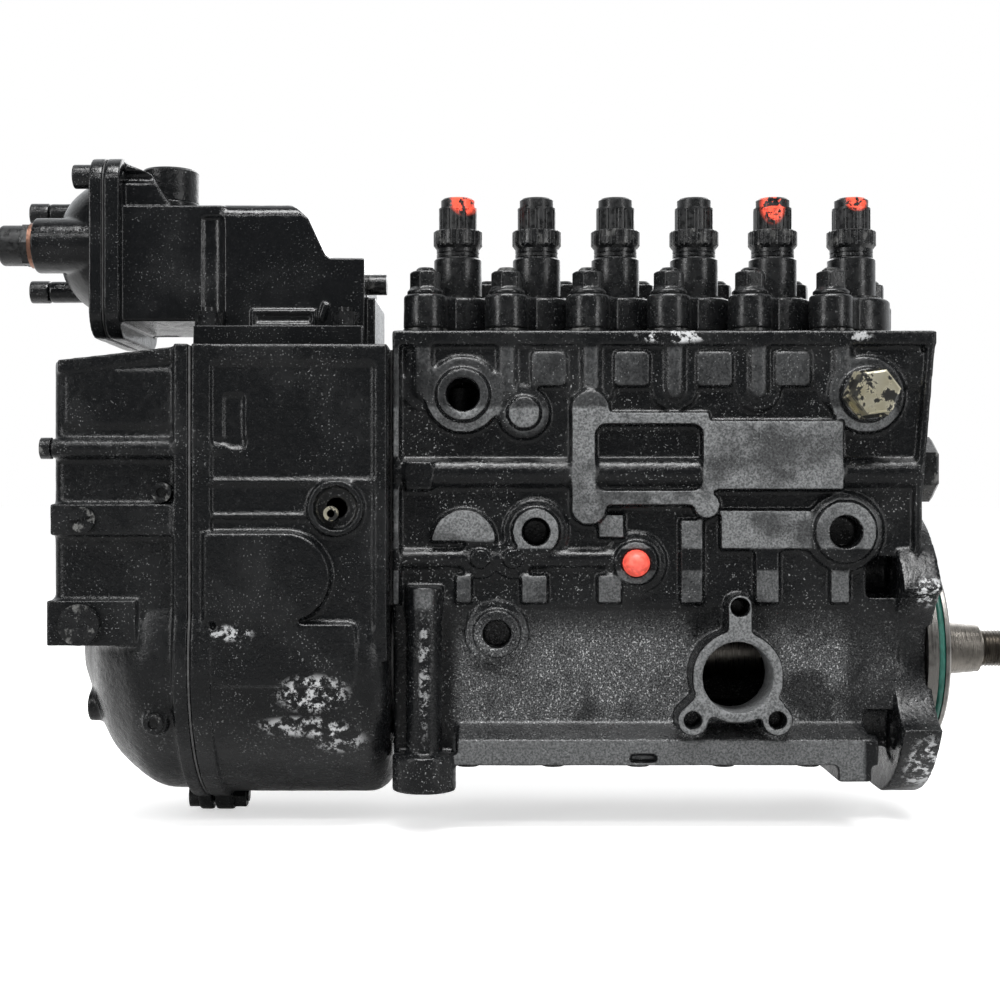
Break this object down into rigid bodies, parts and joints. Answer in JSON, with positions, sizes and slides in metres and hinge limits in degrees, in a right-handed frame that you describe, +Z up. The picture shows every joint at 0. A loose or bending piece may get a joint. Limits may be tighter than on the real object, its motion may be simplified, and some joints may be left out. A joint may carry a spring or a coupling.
{
  "type": "in-line diesel injection pump",
  "caption": "In-line diesel injection pump with flange drive, capped delivery outlets on top, a mechanical governor and a boost compensator at the far end.",
  "frame": {"origin": "on the camshaft axis, in the plane of the mounting flange face that meets the engine", "axes": "+X along the camshaft towards the drive end, +Z up through the delivery outlets, -Y towards the side with the feed pump pad"},
  "size_m": [0.4438, 0.1408, 0.2835],
  "materials": {
    "pump_paint": "gloss black paint over cast aluminium",
    "governor_paint": "gloss black paint over cast aluminium",
    "black_steel": "black paint over steel",
    "bare_steel": "turned",
    "shaft_steel": "ground",
    "hard_steel": "ground",
    "spring_steel": "drawn wire",
    "green_rubber": "satin",
    "dark_rubber": "satin",
    "cap_plastic": "satin",
    "red_plastic": "satin",
    "yellow_zinc": "yellow passivated, partly painted over",
    "gasket": "matt",
    "copper": "soft copper"
  },
  "bodies": {
    "body": {"bearing_outer_races": "hard_steel", "boost_cover": "governor_paint", "boost_cover_screws": "black_steel", "boost_diaphragm": "dark_rubber", "boost_fasteners": "black_steel", "boost_housing": "governor_paint", "boost_port_plug": "cap_plastic", "boost_port_washer": "copper", "boost_spring": "spring_steel", "boost_top_cap": "governor_paint", "bottom_cover": "pump_paint", "bottom_cover_screws": "black_steel", "centre_bearing_shells": "hard_steel", "delivery_valve_holders": "black_steel", "delivery_valve_springs": "spring_steel", "delivery_valves": "hard_steel", "drive_end_plate": "bare_steel", "element_barrels": "hard_steel", "flange_nuts": "black_steel", "flange_shims": "black_steel", "flange_sleeves": "black_steel", "flange_studs": "black_steel", "gallery_plug": "yellow_zinc", "governor_cover": "governor_paint", "governor_cover_plugs": "black_steel", "governor_cover_screws": "black_steel", "governor_gaskets": "gasket", "governor_housing": "governor_paint", "outlet_thread_caps": "cap_plastic", "pilot_o_ring": "green_rubber", "plunger_springs": "spring_steel", "pump_housing": "pump_paint", "rack_end_plug": "black_steel", "roller_tappets": "hard_steel", "shaft_seal": "dark_rubber", "side_port_cap": "red_plastic", "spring_seats": "hard_steel", "tappet_rollers_and_pins": "hard_steel", "viewing_port_plug": "yellow_zinc"},
    "camshaft": {"camshaft": "shaft_steel", "bearing_inner_races": "hard_steel", "flyweight_carrier": "hard_steel", "governor_springs": "spring_steel"},
    "flyweight_1": {"flyweight_1": "hard_steel"},
    "flyweight_2": {"flyweight_2": "hard_steel"},
    "bell_crank_1": {"bell_crank_1": "hard_steel"},
    "bell_crank_2": {"bell_crank_2": "hard_steel"},
    "sliding_bolt": {"sliding_bolt": "hard_steel"},
    "control_rack": {"control_rack": "hard_steel"},
    "rocking_lever": {"rocking_lever": "hard_steel"},
    "throttle_lever": {"throttle_lever": "black_steel"},
    "stop_lever": {"stop_lever": "black_steel"},
    "boost_rod": {"boost_rod": "hard_steel"},
    "plunger_1": {"plunger_and_sleeve_1": "hard_steel"},
    "plunger_2": {"plunger_and_sleeve_2": "hard_steel"},
    "plunger_3": {"plunger_and_sleeve_3": "hard_steel"},
    "plunger_4": {"plunger_and_sleeve_4": "hard_steel"},
    "plunger_5": {"plunger_and_sleeve_5": "hard_steel"},
    "plunger_6": {"plunger_and_sleeve_6": "hard_steel"}
  },
  "joints": [
    {"name": "camshaft_spin", "type": "hinge", "parent": "body", "child": "camshaft", "pos_m": [0, 0, 0], "axis": [1, 0, 0], "continuous": true},
    {"name": "control_rack_slide", "type": "slide", "parent": "body", "child": "control_rack", "axis": [1, 0, 0], "range_m": [-0.0105, 0.0105]},
    {"name": "rocking_lever_turn", "type": "hinge", "parent": "body", "child": "rocking_lever", "pos_m": [-0.286, 0, 0.02], "axis": [0, 1, 0], "range_deg": [-10.4, 10.4]},
    {"name": "sliding_bolt_slide", "type": "slide", "parent": "camshaft", "child": "sliding_bolt", "axis": [1, 0, 0], "range_m": [-0.00365, 0.00365]},
    {"name": "bell_crank_1_turn", "type": "hinge", "parent": "camshaft", "child": "bell_crank_1", "pos_m": [-0.2705, 0, 0.025], "axis": [0, 1, 0], "range_deg": [-12.3, 12.3]},
    {"name": "bell_crank_2_turn", "type": "hinge", "parent": "camshaft", "child": "bell_crank_2", "pos_m": [-0.2705, 0, -0.025], "axis": [0, 1, 0], "range_deg": [-12.3, 12.3]},
    {"name": "flyweight_1_slide", "type": "slide", "parent": "camshaft", "child": "flyweight_1", "axis": [0, 0, 1], "range_m": [-0.003, 0.003]},
    {"name": "flyweight_2_slide", "type": "slide", "parent": "camshaft", "child": "flyweight_2", "axis": [0, 0, -1], "range_m": [-0.003, 0.003]},
    {"name": "throttle_lever_turn", "type": "hinge", "parent": "body", "child": "throttle_lever", "pos_m": [-0.286, 0, 0.02], "axis": [0, 1, 0], "range_deg": [-22, 22]},
    {"name": "stop_lever_turn", "type": "hinge", "parent": "body", "child": "stop_lever", "pos_m": [-0.25, 0, 0.104], "axis": [0, 1, 0], "range_deg": [0, 30]},
    {"name": "boost_rod_slide", "type": "slide", "parent": "body", "child": "boost_rod", "axis": [1, 0, 0], "range_m": [0, 0.006], "stiffness_N_per_m": 1500, "springref_m": -0.004},
    {"name": "plunger_1_turn", "type": "hinge", "parent": "body", "child": "plunger_1", "pos_m": [-0.2006, 0, 0.078], "axis": [0, 0, 1], "range_deg": [-22.4, 22.4]},
    {"name": "plunger_2_turn", "type": "hinge", "parent": "body", "child": "plunger_2", "pos_m": [-0.1656, 0, 0.078], "axis": [0, 0, 1], "range_deg": [-22.4, 22.4]},
    {"name": "plunger_3_turn", "type": "hinge", "parent": "body", "child": "plunger_3", "pos_m": [-0.1306, 0, 0.078], "axis": [0, 0, 1], "range_deg": [-22.4, 22.4]},
    {"name": "plunger_4_turn", "type": "hinge", "parent": "body", "child": "plunger_4", "pos_m": [-0.0956, 0, 0.078], "axis": [0, 0, 1], "range_deg": [-22.4, 22.4]},
    {"name": "plunger_5_turn", "type": "hinge", "parent": "body", "child": "plunger_5", "pos_m": [-0.0606, 0, 0.078], "axis": [0, 0, 1], "range_deg": [-22.4, 22.4]},
    {"name": "plunger_6_turn", "type": "hinge", "parent": "body", "child": "plunger_6", "pos_m": [-0.0256, 0, 0.078], "axis": [0, 0, 1], "range_deg": [-22.4, 22.4]}
  ],
  "couplings": [
    {"joint": "rocking_lever_turn", "follows": "control_rack_slide", "rad_per_m": 17.241},
    {"joint": "sliding_bolt_slide", "follows": "control_rack_slide", "ratio": -0.34483},
    {"joint": "bell_crank_1_turn", "follows": "control_rack_slide", "rad_per_m": 20.284},
    {"joint": "bell_crank_2_turn", "follows": "control_rack_slide", "rad_per_m": -20.284},
    {"joint": "flyweight_1_slide", "follows": "control_rack_slide", "ratio": -0.28398},
    {"joint": "flyweight_2_slide", "follows": "control_rack_slide", "ratio": -0.28398},
    {"joint": "plunger_1_turn", "follows": "control_rack_slide", "rad_per_m": 37.037},
    {"joint": "plunger_2_turn", "follows": "control_rack_slide", "rad_per_m": 37.037},
    {"joint": "plunger_3_turn", "follows": "control_rack_slide", "rad_per_m": 37.037},
    {"joint": "plunger_4_turn", "follows": "control_rack_slide", "rad_per_m": 37.037},
    {"joint": "plunger_5_turn", "follows": "control_rack_slide", "rad_per_m": 37.037},
    {"joint": "plunger_6_turn", "follows": "control_rack_slide", "rad_per_m": 37.037}
  ]
}
